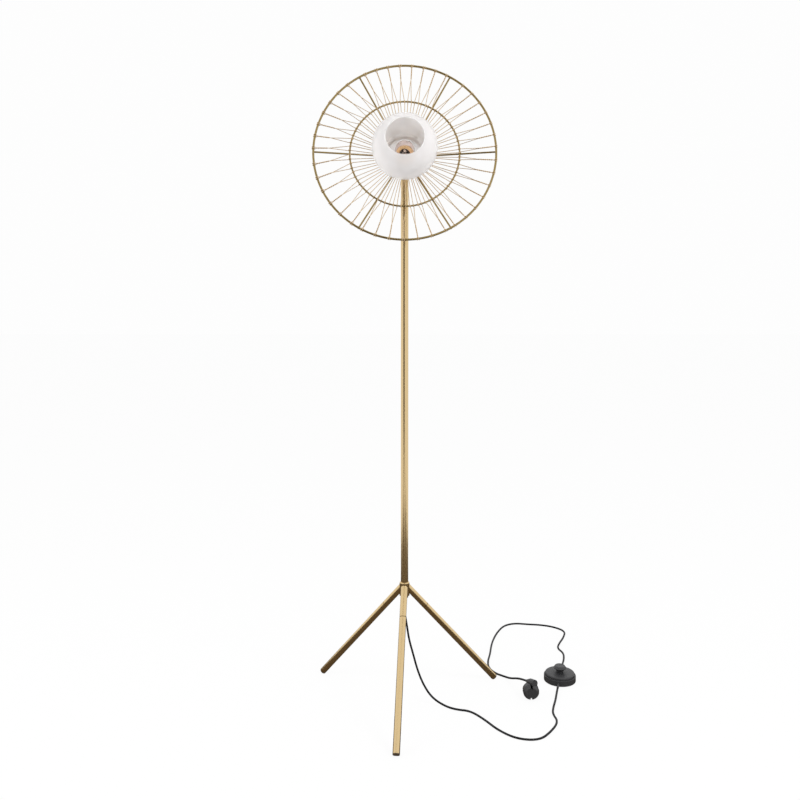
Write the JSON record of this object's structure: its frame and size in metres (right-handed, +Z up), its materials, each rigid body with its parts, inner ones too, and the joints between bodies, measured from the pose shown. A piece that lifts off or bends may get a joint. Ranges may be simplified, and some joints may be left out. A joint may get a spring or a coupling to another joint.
{
  "type": "floor lamp",
  "caption": "Tripod floor lamp with a tilting spoked wire cage round an open opal glass globe, a slim brass-coloured pole and a round foot switch in its cord.",
  "frame": {"origin": "middle of the footprint's box on the floor, under the tripod", "axes": "+Z up along the pole, -Y the way the head faces"},
  "size_m": [0.6863, 0.7221, 1.5237],
  "materials": {
    "brass_plated_steel": "satin",
    "cage_rod": "satin",
    "cage_wire": "satin",
    "dark_joint": "satin",
    "foot_rubber": "matte",
    "black_nylon": "satin",
    "black_holder": "satin",
    "silicone": "matte",
    "opal_glass": "gloss",
    "clear_bulb": "gloss",
    "clear_stem": "gloss",
    "nickel": "polished",
    "black_gloss": "gloss",
    "grey_sleeve": "satin",
    "cord_black": "satin"
  },
  "bodies": {
    "stand": {"hub_sleeve": "brass_plated_steel", "hub_set_screws": "brass_plated_steel", "hub_gland": "black_nylon", "hub_cord_sleeve": "black_nylon", "pole": "brass_plated_steel", "pole_fork": "brass_plated_steel", "pivot_screw": "brass_plated_steel", "pivot_nut": "brass_plated_steel", "leg_stub_front": "brass_plated_steel", "leg_stud_front": "dark_joint", "leg_front": "brass_plated_steel", "foot_cap_front": "foot_rubber", "leg_stub_right": "brass_plated_steel", "leg_stud_right": "dark_joint", "leg_right": "brass_plated_steel", "foot_cap_right": "foot_rubber", "leg_stub_left": "brass_plated_steel", "leg_stud_left": "dark_joint", "leg_left": "brass_plated_steel", "foot_cap_left": "foot_rubber", "lamp_cord": "cord_black", "plug_cord": "cord_black", "switch_base": "black_gloss", "switch_cover": "black_gloss", "switch_block": "black_holder", "switch_screws": "nickel", "cord_sleeve_in": "grey_sleeve", "cord_sleeve_out": "grey_sleeve", "plug_body": "black_gloss", "plug_pins": "nickel"},
    "head": {"tilt_lug": "brass_plated_steel", "socket_cup": "brass_plated_steel", "hub_plate": "brass_plated_steel", "outer_ring": "cage_rod", "inner_ring": "cage_rod", "centre_ring": "cage_rod", "spoke_1": "cage_rod", "spoke_2": "cage_rod", "spoke_3": "cage_rod", "spoke_4": "cage_rod", "spoke_5": "cage_rod", "spoke_6": "cage_rod", "cage_wires_1": "cage_wire", "cage_wires_2": "cage_wire", "cage_wires_3": "cage_wire", "cage_wires_4": "cage_wire", "cage_wires_5": "cage_wire", "cage_wires_6": "cage_wire", "glass_gasket": "silicone", "globe_glass": "opal_glass", "lampholder": "black_holder", "shade_ring": "brass_plated_steel", "bulb_glass": "clear_bulb", "bulb_cap": "nickel", "bulb_stem": "clear_stem"},
    "button": {"foot_button": "black_gloss"}
  },
  "joints": [
    {"name": "head_tilt", "type": "hinge", "parent": "stand", "child": "head", "pos_m": [-0.0095, 0.05567, 1.272], "axis": [1, 0, 0], "range_deg": [-45, 20]},
    {"name": "switch_press", "type": "slide", "parent": "stand", "child": "button", "axis": [0, 0, -1], "range_m": [0, 0.003], "stiffness_N_per_m": 2500, "springref_m": -0.001}
  ]
}
